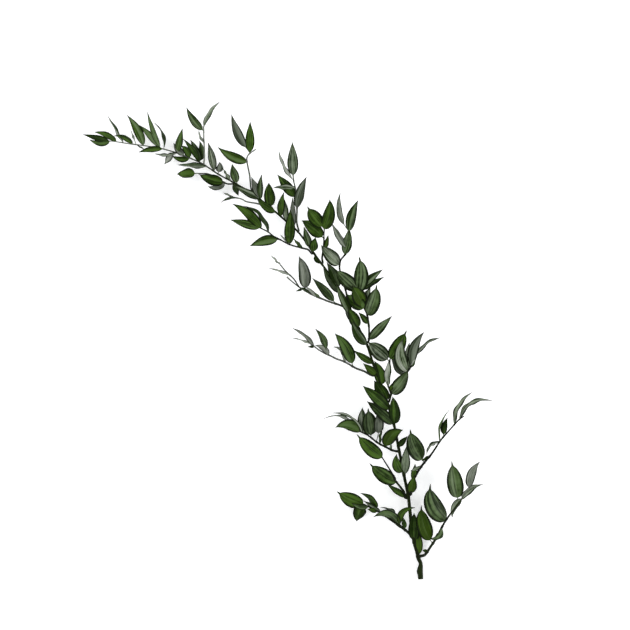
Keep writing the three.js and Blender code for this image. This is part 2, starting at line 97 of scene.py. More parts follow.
# Materials. Spans run over a blade from its root at 0 to its tip at 1.
VEIN_COUNT = 12.0
LEAF_MOTTLE = 90.0         # mottled patches to a metre
BARK_MOTTLE = 160.0
WOOD_MOTTLE = 900.0
CLOUD_SPAN = (0.32, 0.68)  # part of a noise's range that is stretched to the whole range
OLIVE_SPAN = (0.75, 0.05)
TIP_SPAN = (0.74, 0.92)
MIDRIB_STRENGTH = 0.4
VEIN_STRENGTH = 0.12
TIP_STRENGTH = 0.92
FLECK_STRENGTH = 0.25
SCAR_STRENGTH = 0.5
LEAF_RELIEF = 0.00012
BARK_RELIEF = 0.0002

# The stage, in metres.
FLOOR_HALF = 20
LIGHT_SIZE = 1.8
KEY_PLACE = (-2.1, 1.6, 2.0)
FILL_PLACE = (2.2, -0.4, 1.7)
LEAF_HEIGHT = 0.025        # level at which the camera sees its view's width
SKY_COLOUR = (0.97, 0.985, 1.0)
OVERHEAD_SHARE = 0.16      # light from overhead for one of the light from the horizon

# The main stem from its cut end to its tip: x, y and height of its middle, and its radius.
MAIN_STEM = [
    [0, -1.5, 3.7, 3.7], [-0.6, 5, 3.9, 3.8], [-1.3, 10, 4.6, 4.5], [0, 20, 4.2, 2.7], [-2.8, 27, 4.6, 2.8],
    [-5.5, 38, 5.4, 2.7], [-8.4, 48, 6.2, 2.7], [-12.6, 69, 8.4, 2.6], [-15.4, 97, 12, 2.4],
    [-18, 118, 14.5, 2.3], [-22.4, 139, 17, 2.2], [-26.6, 160, 19, 2.1], [-30.8, 181, 21, 2],
    [-33.6, 195, 22.5, 2], [-38, 217, 24.5, 1.9], [-46, 244, 26.5, 1.9], [-54, 266, 28, 1.8],
    [-61, 282, 29, 1.8], [-66, 298, 29.8, 1.75], [-71, 314, 30.3, 1.7], [-76, 329, 30.6, 1.7],
    [-86, 349, 31, 1.65], [-96, 367, 31, 1.6], [-106, 386, 30.8, 1.6], [-114, 404, 30.3, 1.55],
    [-126, 423, 29.6, 1.5], [-139, 441, 28.8, 1.5], [-150, 456, 27.8, 1.4], [-162, 473, 26.6, 1.4],
    [-174, 488, 25.4, 1.3], [-190, 502, 24, 1.3], [-211, 520, 22, 1.2], [-236, 540, 20, 1.2],
    [-262, 555, 18, 1.1], [-284, 567, 16.3, 1.1], [-309, 583, 14.6, 1], [-340, 596, 12.8, 0.9],
    [-363, 603, 11.4, 0.85], [-386, 607, 10, 0.8], [-410, 610, 8.6, 0.75], [-428, 613, 7.4, 0.7],
    [-438, 614, 6.6, 0.6],
]

# A leaf's row: x and y of its root on its stem, x and y of its tip, its width, how far its tip stands over
# its root, its turn about its own run in degrees, and how far it bows to its right, as a share of its length.
# A turn lifts its right side, and past 90 degrees its underside shows.
MAIN_LEAVES = [
    [-0.5, 31, -6, 71, 11.5, 1, 5, 0.05], [-5.5, 50, -9.5, 92, 17, 6, 5, 0],
    [-21, 144, -20, 187, 14, 7, 15, 0], [-26, 149, -34, 175, 15, 8, -10, -0.17],
    [-32, 185, -19, 200, 8.5, 5, 10, 0], [-38, 218, -40, 256, 17, 14, 15, 0.04],
    [-40, 217, -76, 249, 17, 5, -20, 0.02], [-43.5, 237, -82, 271, 17.5, 11, -15, 0],
    [-48, 250, -66, 278, 18, 3, 10, 0.02], [-54, 272, -65, 305, 17, -5, -12, 0.06],
    [-62.5, 286, -81, 302, 11, 9, 10, 0], [-68, 302, -94, 320, 10.5, 2, -20, -0.02],
    [-77, 327, -97, 362, 14.5, 6, 12, -0.08], [-86, 350, -102, 380, 16, 7, -10, 0],
    [-92, 360, -106, 384, 11, 0, 160, -0.06], [-97, 369, -119, 414, 11.5, 7, 10, -0.02],
    [-112, 401, -137, 438, 12, 2, -20, -0.06], [-115, 408, -132, 443, 15, 7, 10, 0.05],
    [-149, 455, -140, 441.5, 5.5, -1, 20, 0.2], [-149.5, 456, -147.5, 478, 13, 6, -10, -0.05],
    [-156, 464, -164, 493, 11, 4, 20, 0], [-187, 500, -191, 531, 10, 4, 25, 0],
    [-178, 492, -180, 534, 10, 0, 150, 0], [-197, 508, -192, 541, 11, 8, 20, -0.04],
    [-211, 522, -213, 555, 16, 6, -8, -0.02], [-202, 507, -230, 533, 12, 4, -20, -0.05],
    [-224, 532, -223, 566, 10, 8, 25, -0.04], [-226, 535, -237.5, 563, 12.5, -4, 150, 0],
    [-223, 531, -262, 551, 11, 6, -20, 0], [-262, 554, -256, 537, 10, -8, 20, 0],
    [-257, 549, -264.5, 581, 12.5, 7, 10, -0.02], [-266, 558, -277, 574, 9, 5, 60, 0],
    [-291.5, 571, -298, 611, 11.5, 9, 15, 0.02], [-286, 565, -282, 584, 11.5, 3, 150, 0.08],
    [-308, 583, -333, 616, 13, 13, 50, 0.06], [-311, 584, -323, 615, 11, 3, 10, 0.05],
    [-308, 584, -310.5, 614, 10, -4, 0, 0.1], [-299, 575, -342, 580, 13, -6, 56, 0.02],
    [-323, 588, -349, 593, 10, -3, -30, -0.12], [-341, 596, -373, 596, 10, -5, 66, -0.08],
    [-346, 597, -360, 581, 11, -7, 150, 0], [-342, 598, -334, 631, 11, 10, 20, 0],
    [-325, 589, -336, 607, 11, 8, -20, 0.1], [-333, 593, -347, 611, 11, -2, 160, -0.05],
    [-363, 603, -396, 598, 9, -4, 20, 0.05], [-362, 604, -374, 639, 9, 8, 64, 0.16],
    [-364, 606, -395, 636, 10, 2, 12, 0.03], [-364, 605, -383, 654, 8.5, 14, 25, -0.03],
    [-388.5, 608, -412, 650, 13, 6, 10, 0.06], [-397, 609, -407, 629, 7, 2, 74, 0],
    [-397, 609, -386, 601, 4, 1, 60, 0], [-418, 612, -439, 649, 10, 7, 64, 0],
    [-404, 610, -430, 621, 9, 5, 35, 0.12], [-428, 613, -458, 626, 10, 7, 30, 0.1],
    [-437, 614, -465, 616, 9, -6.2, 12, -0.14], [-438, 614, -474, 623, 9, 2, 25, 0],
]

# Each side shoot: x and y of its foot on the main stem, the lines (x, y and height) that its own stem runs
# along from there, of which a second one is a fork, and its leaves.
SHOOTS = {
    "right_shoot_1": {
        "foot": [-3.6, 30],
        "lines": [[[6, 33, 6], [13, 43, 8], [22, 57, 11], [34, 80, 16], [46, 97, 20], [57, 112, 24],
            [69, 128, 28]]],
        "leaves": [
            [9, 38, 2.5, 39.5, 5, 1, 20, 0], [11, 52.5, 0.5, 103, 22, 10, -10, -0.08],
            [31, 71.5, 12, 56, 12, 6, 40, -0.26], [35, 83, 13, 134, 26.5, 20, -8, -0.16],
            [57, 112.5, 44, 85.5, 11.5, -10, 30, 0.14], [45.5, 110.5, 42.5, 165.5, 23.5, 16, 8, 0],
            [57, 112, 87, 133, 15, 9, 56, -0.12], [68, 128, 82, 165, 15.5, 13, 152, -0.13],
        ],
    },
    "right_shoot_2": {
        "foot": [-17.5, 116.5],
        "lines": [[[-12, 134, 18.5], [-5, 149, 22], [3, 161, 25], [13, 173, 28], [20, 183, 30],
            [27, 194, 31.5], [40, 209, 32], [52, 222, 28], [60, 228, 24]]],
        "leaves": [
            [-14, 119.5, -9.5, 145, 14, 9, -8, 0], [-14, 137, -8, 161, 9, 1, 20, 0],
            [0.5, 166.5, -15.5, 210, 24, 13, -12, -0.08], [-1, 159, -15, 151, 10, 3, 60, 0],
            [12, 172, 1, 165, 7, -4, 45, 0], [26, 193, 8, 174, 12, -8, 64, 0.2],
            [26, 193, 42, 239.5, 9, 13, 72, -0.14], [29.5, 202, 36.5, 226, 10, 12, 20, -0.08],
            [46, 217, 72, 262, 12, 8, 58, -0.15], [53.5, 223.5, 101, 249, 12.5, -26.2, 60, -0.23],
        ],
    },
    "right_shoot_3": {
        "foot": [-48, 250],
        "lines": [[[-42, 259, 29.5], [-38, 268, 31.5], [-32, 280, 34], [-24, 288, 37], [-18, 292, 38.5],
            [-13, 300, 40], [-9, 306, 41], [-6, 315, 42]],
            [[-42, 259, 29.5], [-44, 264, 32], [-46.5, 272, 34], [-46, 283, 35], [-43, 296, 36],
            [-45, 306, 37]]],
        "leaves": [
            [-40.5, 258.5, -18.5, 293, 19, 17, 10, 0.05], [-19, 291, -25, 337, 19, 17, -12, -0.17],
            [-26, 286, -42, 314, 14, -5, 150, 0], [-47, 270, -42.5, 310, 13, -2, 46, -0.06],
            [-16, 294, -16, 331, 11, 1, 48, -0.12], [-13, 300, 4, 346, 15.5, 13, 165, -0.12],
            [-6, 315, 27, 338, 12, -6, 64, -0.12], [-15, 297, -8, 309, 6.5, 3, 10, 0],
            [-48.5, 304.5, -75.5, 333, 22, 5, 10, 0], [-44, 309, -20.5, 348, 20, 7, -8, 0.02],
            [-44, 264, -38, 276, 6.5, 2, 25, 0],
        ],
    },
    "right_shoot_4": {
        "foot": [-76.5, 330],
        "lines": [[[-73, 336, 33], [-73, 352, 36.5], [-75, 368, 39.5], [-79, 378, 41], [-84, 392, 42],
            [-88, 405, 43]]],
        "leaves": [
            [-73, 336, -41, 368, 14, 4, 22, 0], [-77, 354, -87.5, 373, 9, 4, -12, 0.05],
            [-76, 369, -62.5, 412, 21, 11, 12, 0.06], [-81, 377, -105, 399, 20, 5, 10, 0],
            [-82, 381, -97, 411, 21, 12, -10, 0.02], [-82, 386, -71, 408, 12, 3, 10, 0],
            [-78, 406, -54, 433, 11.5, 6, 20, -0.04], [-77, 401, -52, 422.5, 10, -3, 42, -0.06],
            [-87, 403, -87, 451, 21, 9, 8, 0.07], [-91, 402, -121, 434, 20, 5, -12, -0.02],
        ],
    },
    "right_shoot_5": {
        "foot": [-106, 386],
        "lines": [[[-104.5, 400, 34], [-110, 418, 37.5], [-114, 434, 40.5], [-113, 445, 43],
            [-108, 452, 45], [-104, 457, 46], [-101, 470, 48], [-101, 486, 50]]],
        "leaves": [
            [-115, 440, -140, 467, 19, 5, -10, -0.02], [-109, 454, -100.5, 491, 14.5, 3, 12, 0.02],
            [-107.5, 462, -125, 498, 11, 3, 145, -0.03], [-103, 485, -88, 530, 14.5, 6, 15, -0.06],
            [-109.5, 494, -113, 540, 10.5, 3, 145, -0.13],
        ],
    },
    "right_shoot_6": {
        "foot": [-139, 441],
        "lines": [[[-138.5, 450, 31], [-137, 460, 34], [-136, 470, 37], [-136, 480, 40], [-135.5, 490, 43]]],
        "leaves": [
            [-135.5, 490, -128, 531, 18, 4, 8, 0.08], [-136.5, 495, -159, 521, 19.5, -2, -12, -0.03],
            [-140, 476, -167, 502, 18, -3, 12, 0.04], [-138, 461, -130, 481, 9, 2, 30, 0.04],
        ],
    },
    "right_shoot_7": {
        "foot": [-174, 488],
        "lines": [[[-174, 500, 28.5], [-173.5, 519, 33], [-175, 535, 37], [-176, 547, 39.5],
            [-178, 556, 41], [-179, 565, 42.5]]],
        "leaves": [
            [-174, 519, -160, 563, 14.5, 5, 160, -0.05], [-178, 532, -201, 566, 15, -2, 12, 0],
            [-176, 546, -206, 547, 13, 6, 52, 0.06], [-181, 557, -199, 599, 11, 4, 118, -0.07],
            [-179, 565, -180, 611, 15.5, 3, 0, 0],
        ],
    },
    "right_shoot_8": {
        "foot": [-238, 541],
        "lines": [[[-238, 547, 23], [-239, 557, 28], [-240, 566, 31], [-243, 581, 35], [-243.5, 589, 37],
            [-240, 595, 38], [-231, 601, 38.5]]],
        "leaves": [
            [-246, 604, -265, 650, 13, 4, 170, -0.06], [-240.5, 597, -239, 640, 13, 2, 0, 0],
            [-243.5, 584, -284, 604, 14.5, 3, -8, -0.07],
        ],
    },
    "right_shoot_9": {
        "foot": [-306, 581],
        "lines": [[[-303.5, 592, 20], [-303.5, 605, 24], [-304, 618, 28], [-304, 634, 32]]],
        "leaves": [
            [-306, 627, -328, 660, 11.5, 4, 12, -0.07], [-304, 634, -281, 668, 12, 3, 55, -0.08],
            [-304, 611, -311, 629, 8, 1, 66, -0.1],
        ],
    },
    "left_shoot_1": {
        "foot": [-12, 65],
        "lines": [[[-20, 66.5, 9.5], [-33, 76, 10], [-42, 82, 10], [-56, 92, 10], [-68, 98, 9],
            [-80, 104, 8]]],
        "leaves": [
            [-29, 75, -67, 86, 17.5, 6, 42, 0.3], [-33, 78, -57, 99, 12, -2, 72, 0.28],
            [-27, 75, -8, 100, 10, 16, -15, -0.3], [-20, 70, -25, 86, 7.5, 3, 20, 0],
            [-80, 105, -118, 122, 20.5, -2, 8, -0.05], [-59, 98, -85, 120, 11, 9, 40, 0.16],
            [-81, 106, -90, 79.5, 19, -6, 15, 0.06], [-56, 93, -81, 109, 12, -3, 58, 0.02],
            [-60, 95, -75, 97, 8, -3, 20, 0], [-73, 100.5, -97, 106, 8.5, 2, 30, -0.12],
        ],
    },
    "left_shoot_2": {
        "foot": [-18, 113],
        "lines": [[[-24, 122, 15.5], [-30, 130, 18], [-36, 138, 21], [-40, 147, 24], [-48, 160, 27],
            [-55, 171, 30]]],
        "leaves": [
            [-22, 114, -48, 133, 10, -5, -30, 0], [-35, 135, -72, 162, 20.5, 1, -12, -0.06],
            [-55, 170, -90, 203, 19.5, 8, 8, -0.04],
        ],
    },
    "left_shoot_3": {
        "foot": [-30, 177],
        "lines": [[[-40, 180, 18.5], [-50, 185, 16.5], [-60, 190, 14.5], [-73, 200, 12], [-82, 205, 10.5],
            [-90, 208, 9]]],
        "leaves": [
            [-42, 181, -42, 190, 4, 3, 30, 0], [-48.5, 186, -25, 209, 19, 18, -10, -0.18],
            [-57, 189, -54, 212, 8, 3, 62, -0.05], [-55, 202, -62, 233, 15.5, 16, 160, 0.08],
            [-67, 201, -74, 239, 22, 6, -10, 0], [-79, 204, -82, 240, 16, 3, 20, -0.03],
            [-84, 206, -120, 211.5, 18, -3, 22, 0.2], [-82, 205, -127, 232, 12, 12, 66, 0.19],
            [-90, 208, -138, 223, 9, -6, 64, 0.24],
        ],
    },
    "left_shoot_4": {
        "foot": [-63, 286],
        "lines": [[[-70, 285.5, 26], [-80, 291, 23], [-91, 295, 20], [-107, 304, 17], [-118, 308, 15],
            [-128, 313, 13], [-137, 317, 12], [-145, 322, 11], [-150, 326, 10]]],
        "leaves": [
            [-93, 302, -121, 344, 18, 10, -12, 0.08], [-107, 304, -122, 325, 9, 2, 30, 0.26],
            [-130, 322, -148, 350, 11, 8, 30, 0.12], [-129, 314, -148, 327, 10, 1, 150, 0.15],
            [-150, 326, -180, 351, 9, 9, 130, 0.08], [-150, 326, -180, 337, 8, -2, 74, 0.06],
            [-149, 325.5, -158, 325, 4, -1, 10, 0],
        ],
    },
    "left_shoot_5": {
        "foot": [-104, 382],
        "lines": [[[-115, 384, 27.5], [-128, 388, 25], [-138, 392, 23], [-148, 396, 21], [-158, 401, 20],
            [-166, 406, 18], [-171, 409, 17], [-180, 416, 15.5], [-188, 423, 14]],
            [[-171, 409, 17], [-178, 420, 17], [-189, 430.5, 17], [-197, 440, 17]]],
        "leaves": [
            [-118, 390, -152, 421, 13, 5, 20, 0.02], [-160, 407, -171, 452, 18, 10, 165, 0.07],
            [-166, 406, -175, 403, 3.5, -2, 10, 0], [-145, 395.5, -162, 410, 6.5, 4, 150, 0],
            [-196, 440, -210, 453, 8, 3, 70, 0], [-183, 425, -213, 435, 6.5, -3, 60, 0.04],
            [-141, 394, -149.5, 401, 4, 1, 10, 0], [-155, 400, -170, 408, 6, 2, 50, 0.08],
        ],
    },
    "left_shoot_6": {
        "foot": [-149.5, 455.5],
        "lines": [[[-158, 461, 26.5], [-165, 463, 26], [-177, 466, 25], [-188, 470, 24], [-196, 474.5, 23],
            [-201, 476, 23]],
            [[-196, 474.5, 23], [-203, 478, 24], [-208, 481, 25], [-214, 486, 26], [-220, 489, 27],
            [-226, 492, 28]]],
        "leaves": [
            [-167, 463.5, -178, 476, 7, 5, 45, 0], [-184.5, 469, -182.5, 518, 15.5, 11, -5, 0],
            [-184, 468.5, -197, 482, 6, -3, 55, 0], [-201, 476, -240, 466, 15, -6, -12, 0.05],
            [-214, 486, -248, 522, 12, 14, 60, 0.16], [-226, 492, -267, 503, 13, -4, -8, 0],
            [-224, 491, -264, 525, 14.5, 5, 10, 0.08],
        ],
    },
    "left_shoot_7": {
        "foot": [-213, 522],
        "lines": [[[-219, 523, 16], [-230, 526, 14], [-244, 528.5, 12.5], [-252, 532.5, 11.5],
            [-264, 535, 11]]],
        "leaves": [
            [-258, 534, -281, 527, 6, -3, 60, 0.1], [-263, 535, -277, 541, 7, 2, 66, 0],
        ],
    },
    "left_shoot_8": {
        "foot": [-264, 556],
        "lines": [[[-271, 553.5, 14], [-277, 556, 12.5], [-282, 560, 12], [-290, 564.5, 11.5],
            [-300, 568, 11], [-312, 568, 10]]],
        "leaves": [
            [-275, 554, -299, 550, 11, -7, 150, -0.14], [-277.5, 556, -311, 567, 16, -3, -12, -0.05],
            [-317, 566, -342.5, 567.5, 16, -5, -30, 0.02],
        ],
    },
}

# How a leaf looks: shares of the bright green, of the olive that spreads from its base, and of the painted
# grey sheen, a painted reflection of the lights, that its middle catches.
FINISHES = {
    "d": (0.08, 0.1, 0.0),     # the darkest green, as on small and edge-on leaves
    "k": (0.28, 0.1, 0.07),    # dark green with a trace of painted grey sheen
    "m": (0.44, 0.25, 0.0),    # middle green
    "b": (0.58, 0.25, 0.04),   # bright green
    "v": (0.85, 0.3, 0.0),     # light, vivid green
    "y": (0.8, 0.15, 0.14),    # pale, slightly yellow green
    "o": (0.53, 0.9, 0.0),     # olive
    "s": (0.39, 0.15, 0.13),   # dull green with streaks of painted grey sheen
    "g": (0.42, 0.05, 0.42),   # painted grey sheen
    "w": (0.62, 0.0, 1.0),     # painted silvery sheen all over
}

# One letter of FINISHES for each leaf, in the order of its list.
LEAF_FINISHES = {
    "main_stem": "odgmddkmdmomsmssskdmsggmmmsggksgggdskgmwwbmgmdyyywdwmmbd",
    "right_shoot_1": "dossgsgg",
    "right_shoot_2": "omsgmgodgg",
    "right_shoot_3": "sgswgsgwgmo",
    "right_shoot_4": "sdsbogsdss",
    "right_shoot_5": "gsgsg",
    "right_shoot_6": "mmmo",
    "right_shoot_7": "smgwg",
    "right_shoot_8": "smb",
    "right_shoot_9": "sgw",
    "left_shoot_1": "ssodvmmgos",
    "left_shoot_2": "mbm",
    "left_shoot_3": "godgsgbgw",
    "left_shoot_4": "bwswgwd",
    "left_shoot_5": "kgdwwwsd",
    "left_shoot_6": "dmwbdbm",
    "left_shoot_7": "dg",
    "left_shoot_8": "gmv",
}

# How far a shoot's own stem is bleached to a pale grey-green, at its foot and at its tip.
TWIG_PALENESS = {
    "right_shoot_7": (0.3, 0.6),
    "right_shoot_8": (0.1, 0.7),
    "right_shoot_9": (0.9, 0.9),
    "left_shoot_4": (0, 0.6),
    "left_shoot_5": (0, 0.7),
    "left_shoot_7": (0.6, 0.8),
    "left_shoot_8": (0, 0.3),
}


def colour_property(name, description, default):
    """A colour of three numbers from 0 to 1."""
    return FloatVectorProperty(
        name=name, description=description, default=default, subtype="COLOR", min=0, max=1)


class RuscusLeafSettings(bpy.types.PropertyGroup):
    """Sizes and colours of the leaves"""

    across: IntProperty(
        name="Faces across", description="Faces from one edge of a blade to the other",
        default=12, min=4, max=24)
    along: IntProperty(
        name="Faces along", description="Faces from a leaf's root to its tip", default=32, min=8, max=64)
    midrib_thickness: FloatProperty(
        name="Midrib thickness", description="Thickness of a blade at its middle",
        default=0.0006, unit="LENGTH", precision=5)
    edge_thickness: FloatProperty(
        name="Edge thickness", description="Thickness of a blade at its edges",
        default=0.0003, unit="LENGTH", precision=5)
    wave: FloatProperty(
        name="Edge wave", description="Height of the waves, as a share of half the width",
        default=0.07, subtype="FACTOR", min=0, max=0.3)
    twist: FloatProperty(
        name="Tip twist", description="Most that a drawn-out tip turns about its run",
        default=math.radians(14), subtype="ANGLE")
    dark_colour: colour_property("Dark green", "Upper side of the darkest leaves", (0.0035, 0.012, 0.0003))
    bright_colour: colour_property(
        "Bright green", "Upper side of the brightest leaves", (0.05, 0.104, 0.014))
    olive_colour: colour_property(
        "Olive", "Yellow-green that spreads from a leaf's base", (0.028, 0.056, 0.001))
    # Painted sheen: a grey painted reflection of the lights on the leaves that face them.
    painted_sheen_colour: colour_property(
        "Bloom", "Grey bloom on the leaves that catch the light", (0.3, 0.318, 0.272))
    underside_colour: colour_property("Underside", "Lower side of the leaves", (0.1, 0.118, 0.085))
    vein_colour: colour_property("Midrib", "Midrib and main veins", (0.075, 0.11, 0.045))
    # Painted shade: the dark margin stands in for the shade and dark outline at a blade's edges.
    margin_shade_colour: colour_property("Margin", "Dark margin of a blade", (0.002, 0.005, 0.0004))
    tip_colour: colour_property("Tip", "Dark drawn-out tips", (0.006, 0.009, 0.002))
    dry_colour: colour_property("Dried flecks", "Dried flecks on the leaves", (0.09, 0.065, 0.03))


class RuscusStemSettings(bpy.types.PropertyGroup):
    """Sizes and colours of the stems"""

    stem_sides: IntProperty(
        name="Main stem sides", description="Faces round the main stem", default=28, min=8, max=64)
    shoot_sides: IntProperty(
        name="Shoot sides", description="Faces round a side shoot", default=12, min=6, max=32)
    swelling: FloatProperty(
        name="Node swelling", description="Swelling at a node, as a share of the radius",
        default=0.2, subtype="FACTOR", min=0, max=0.5)
    ridge: FloatProperty(
        name="Ridges", description="Depth of the lengthwise ridges, as a share of the radius",
        default=0.035, subtype="FACTOR", min=0, max=0.2)
    bark_colour: colour_property("Bark", "Dark green-brown of the older bark", (0.004, 0.007, 0.001))
    young_colour: colour_property("Young bark", "Green of the younger bark", (0.013, 0.023, 0.004))
    twig_colour: colour_property("Twig", "Dark of the side shoots", (0.005, 0.006, 0.004))
    pale_colour: colour_property("Bleached twig", "Grey-green of the palest twigs", (0.2, 0.215, 0.18))
    scar_colour: colour_property("Scars", "Corky specks and scars", (0.07, 0.055, 0.03))
    wood_colour: colour_property("Cut wood", "Wood at the cut end", (0.42, 0.34, 0.19))


class RuscusStageSettings(bpy.types.PropertyGroup):
    """The surface, the lights and the camera"""

    floor_colour: colour_property("Floor", "Colour of the surface", (0.94, 0.94, 0.94))
    floor_glow: FloatProperty(
        name="Floor glow", description="Light that the surface gives off", default=0.3, min=0)
    key_power: FloatProperty(
        name="Key light", description="Power of the large light at the upper left",
        default=45, unit="POWER", min=0)
    fill_power: FloatProperty(
        name="Fill light", description="Power of the large light at the right",
        default=25, unit="POWER", min=0)
    ambient: FloatProperty(
        name="Ambient", description="Strength of the light from all round the horizon", default=1.9, min=0)
    view_width: FloatProperty(
        name="View width", description="Width that the camera sees at the object",
        default=0.882, unit="LENGTH", min=0.1)
    lens: FloatProperty(
        name="Lens", description="Focal length of the camera", default=250, unit="CAMERA", min=35)


# Curves and outlines

class StemLine:
    """A smooth curve through a list of places, with shares of its run from 0 to 1."""

    def __init__(self, places):
        self.points = [Vector(place[:3]) for place in places]

    def at(self, share):
        points = self.points
        last = len(points) - 1
        along = share * last
        index = min(max(math.floor(along), 0), last - 1)
        t = along - index
        a, b = points[index], points[index + 1]
        before = points[index - 1] if index > 0 else a + (a - b)
        after = points[index + 2] if index + 2 <= last else b + (b - a)
        leave, arrive = (b - before) / 2, (after - a) / 2
        return (a + leave * t + (3 * (b - a) - 2 * leave - arrive) * t ** 2
                + (2 * (a - b) + leave + arrive) * t ** 3)

    def run_at(self, share):
        step = 1e-4
        return (self.at(min(share + step, 1)) - self.at(max(share - step, 0))).normalized()

    def nearest(self, x, y):
        """(distance in plan, share) of the place that is nearest to x, y."""
        shares = [step / NEAREST_STEPS for step in range(NEAREST_STEPS + 1)]
        return min((math.hypot(self.at(share).x - x, self.at(share).y - y), share) for share in shares)


def run_frame(run):
    """The level right-hand side of a run and the normal over it."""
    side = run.cross(UP).normalized()
    return side, side.cross(run).normalized()


def outline(share, width):
    """Half the width of a blade's oval body at a share of the blade's length."""
    body, base, tip = next(shape for least, shape in OUTLINES if width >= least)
    along = min(share / body, 1)
    widest = base / (base + tip)
    most = widest ** base * (1 - widest) ** tip
    return 0.5 * width * along ** base * (1 - along) ** tip / most


def clamp(value):
    return max(0.0, min(1.0, value))


def blend(a, b, share):
    return a + (b - a) * share


# Meshes

UPPER, UNDER, TWIG = 0, 1, 2       # material slots of a leafy piece
# Sorts a blade's faces by side, then from root to tip, then across, because solidify leaves no set order.
FACE_ORDER = Vector((1, 100, 10000))


def flat_blade(leaf):
    """A flat unit blade with two faces and a rim: x from edge to edge, y from root to tip, z the face."""
    bm = bmesh.new()
    bmesh.ops.create_grid(bm, x_segments=leaf.across, y_segments=leaf.along, size=1)
    bmesh.ops.solidify(bm, geom=list(bm.faces), thickness=1)
    middle = sum(vert.co.z for vert in bm.verts) / len(bm.verts)
    bm.verts.layers.float_color.new("finish")
    uv = bm.loops.layers.uv.new("blade")
    crowding = 1.15            # of the columns towards the midrib
    for vert in bm.verts:
        vert.co.z = 1 if vert.co.z > middle else -1
        vert.co.x = math.copysign(abs(vert.co.x) ** crowding, vert.co.x)
        vert.co.y = (vert.co.y + 1) / 2
    for face in bm.faces:
        heights = [vert.co.z for vert in face.verts]
        rim = min(heights) != max(heights)
        face.material_index = UNDER if max(heights) < 0 else UPPER
        face.smooth = True
        for loop in face.loops:
            loop[uv].uv = ((loop.vert.co.x + 1) / 2, loop.vert.co.y)
            if rim and loop.vert.co.z == loop.link_loop_next.vert.co.z:
                loop.edge.smooth = False
    bmesh.ops.recalc_face_normals(bm, faces=list(bm.faces))
    bm.faces.sort(key=lambda face: face.calc_center_median().dot(FACE_ORDER))
    return save_mesh(bm, "flat_blade")


def save_mesh(bm, name):
    mesh = bpy.data.meshes.new(name)
    bm.to_mesh(mesh)
    bm.free()
    return mesh


def grow_leaf(bm, blade, start, leaf, finish, chance, settings):
    """One leaf: the flat blade bent to its root, tip, width, rise, turn and bow."""
    root_x, root_y, tip_x, tip_y, width, rise, turn, bow = leaf
    chord = Vector((tip_x - start.x, tip_y - start.y, 0))
    length = chord.length
    across = Vector((chord.y, -chord.x, 0)) / length
    stalk = math.hypot(root_x - start.x, root_y - start.y) / length
    twist = settings.twist * chance.uniform(-1, 1)
    waves = chance.uniform(1.3, 2.4)     # along each edge
    phases = (chance.uniform(0, math.tau), chance.uniform(0, math.tau))
    # Leaves that stand on edge wave more.
    on_edge = math.sin(math.radians(turn)) ** 2
    flutter = settings.wave * chance.uniform(0.6, 1.3) * (1 + 2.2 * on_edge)
    fold = LEAF_FOLD if width >= NARROW_LEAF else NARROW_FOLD * LEAF_FOLD
    thick_middle = settings.midrib_thickness * MM_PER_METRE
    thick_edge = settings.edge_thickness * MM_PER_METRE
    # Each leaf departs a little from its finish.
    # A finish gives a leaf's green tone, its olive and its share of painted sheen, a painted reflection.
    bright, olive, painted_sheen = FINISHES[finish]
    shade = (clamp(bright + chance.uniform(-0.08, 0.08)), clamp(olive + chance.uniform(-0.08, 0.12)),
             clamp(painted_sheen * chance.uniform(0.8, 1.2)), chance.random())

    def midrib(share):
        swell = 4 * share * (1 - share)
        place = start + chord * share + across * (bow * length * swell)
        place.z += rise * share + LEAF_ARCH * length * swell
        return place

    stations = {}

    def station(share):
        if share not in stations:
            run = (midrib(share + 0.01) - midrib(share - 0.01)).normalized()
            side, normal = run_frame(run)
            part = clamp((share - stalk) / (1 - stalk))
            turned = Matrix.Rotation(-math.radians(turn) + twist * part ** 3, 3, run)
            stalk_half = STALK_RADIUS * (1 - part) ** 4
            # The drawn-out tip widens fast at its end, and then over a fifth of the blade.
            tail_half = TIP_RADIUS + 0.35 * clamp((1 - part) / 0.06)
            tail_half = tail_half + 0.08 * width * clamp((1 - part) / 0.2) ** 1.2
            half = (outline(part, width) ** 3 + max(stalk_half, tail_half * part) ** 3) ** (1 / 3)
            stations[share] = (midrib(share), turned @ side, turned @ normal, part, half)
        return stations[share]

    first = len(bm.verts)
    bm.from_mesh(blade)
    bm.verts.ensure_lookup_table()
    layer = bm.verts.layers.float_color["finish"]
    for vert in bm.verts[first:]:
        edge, along, face = vert.co
        share = blend(along, 0.5 - 0.5 * math.cos(math.pi * along), 0.5)
        place, side, normal, part, half = station(round(share, 6))
        reach = abs(edge)
        phase = phases[0] if edge < 0 else phases[1]
        body = math.sin(math.pi * part) ** 0.5 if 0 < part < 1 else 0
        lift = fold * half * reach - EDGE_CURL * half * reach ** 4
        lift += flutter * half * reach ** 2 * body * math.sin(math.tau * waves * part + phase)
        stemlike = (1 - part) ** 12
        thickness = blend(thick_middle, thick_edge, reach) * blend(0.5, 1, body) + STALK_THICKENING * stemlike
        groove = GROOVE_DEPTH * math.exp(-(edge / GROOVE_WIDTH) ** 2) * body
        vert.co = place + side * (edge * half) + normal * (lift - groove + face * thickness / 2)
        vert[layer] = shade


